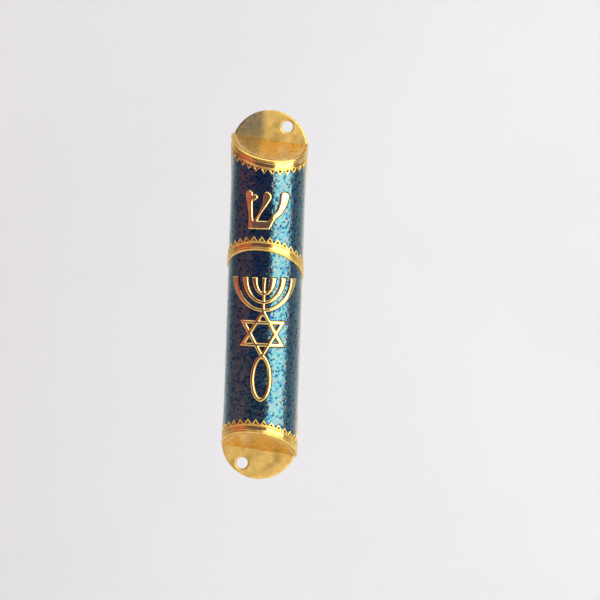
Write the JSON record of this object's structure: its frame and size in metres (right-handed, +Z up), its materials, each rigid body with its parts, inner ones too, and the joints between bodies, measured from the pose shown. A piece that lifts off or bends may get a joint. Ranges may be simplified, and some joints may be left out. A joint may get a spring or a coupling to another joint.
{
  "type": "mezuzah case",
  "caption": "Arched, enamelled mezuzah case with crown bands and a raised lamp, star and fish emblem. It lifts off a flat wall plate to take a rolled scroll.",
  "frame": {"origin": "middle of the plate's back face, which lies on the wall", "axes": "X to the right as seen from the front, +Y into the wall, +Z up along the case"},
  "size_m": [0.0218, 0.0132, 0.105],
  "materials": {
    "plate": "gold plated, lightly stained",
    "shell": "polished, gold plated",
    "band": "bright polished, gold plated",
    "emblem": "bright polished, gold plated",
    "enamel": "translucent dark blue over hammered metal, glossy",
    "spring": "satin spring strip",
    "rivet": "satin",
    "paper": "matte"
  },
  "bodies": {
    "plate": {"back_plate": "plate", "spring_clip_upper": "spring", "spring_clip_lower": "spring", "clip_rivet_upper": "rivet", "clip_rivet_lower": "rivet"},
    "case": {"case_shell": "shell", "end_cap_top": "shell", "end_cap_bottom": "shell", "crown_band_top": "band", "crown_band_middle": "band", "crown_band_bottom": "band", "enamel_upper": "enamel", "enamel_lower": "enamel", "shin_letter": "emblem", "lamp_star_fish_emblem": "emblem"},
    "scroll": {"scroll": "paper"}
  },
  "joints": [
    {"name": "case_lift", "type": "slide", "parent": "plate", "child": "case", "axis": [0, -1, 0], "range_m": [0, 0.03]},
    {"name": "scroll_lift", "type": "slide", "parent": "plate", "child": "scroll", "axis": [0, -1, 0], "range_m": [0, 0.015]}
  ],
  "couplings": [
    {"joint": "scroll_lift", "follows": "case_lift", "ratio": 0.5}
  ]
}
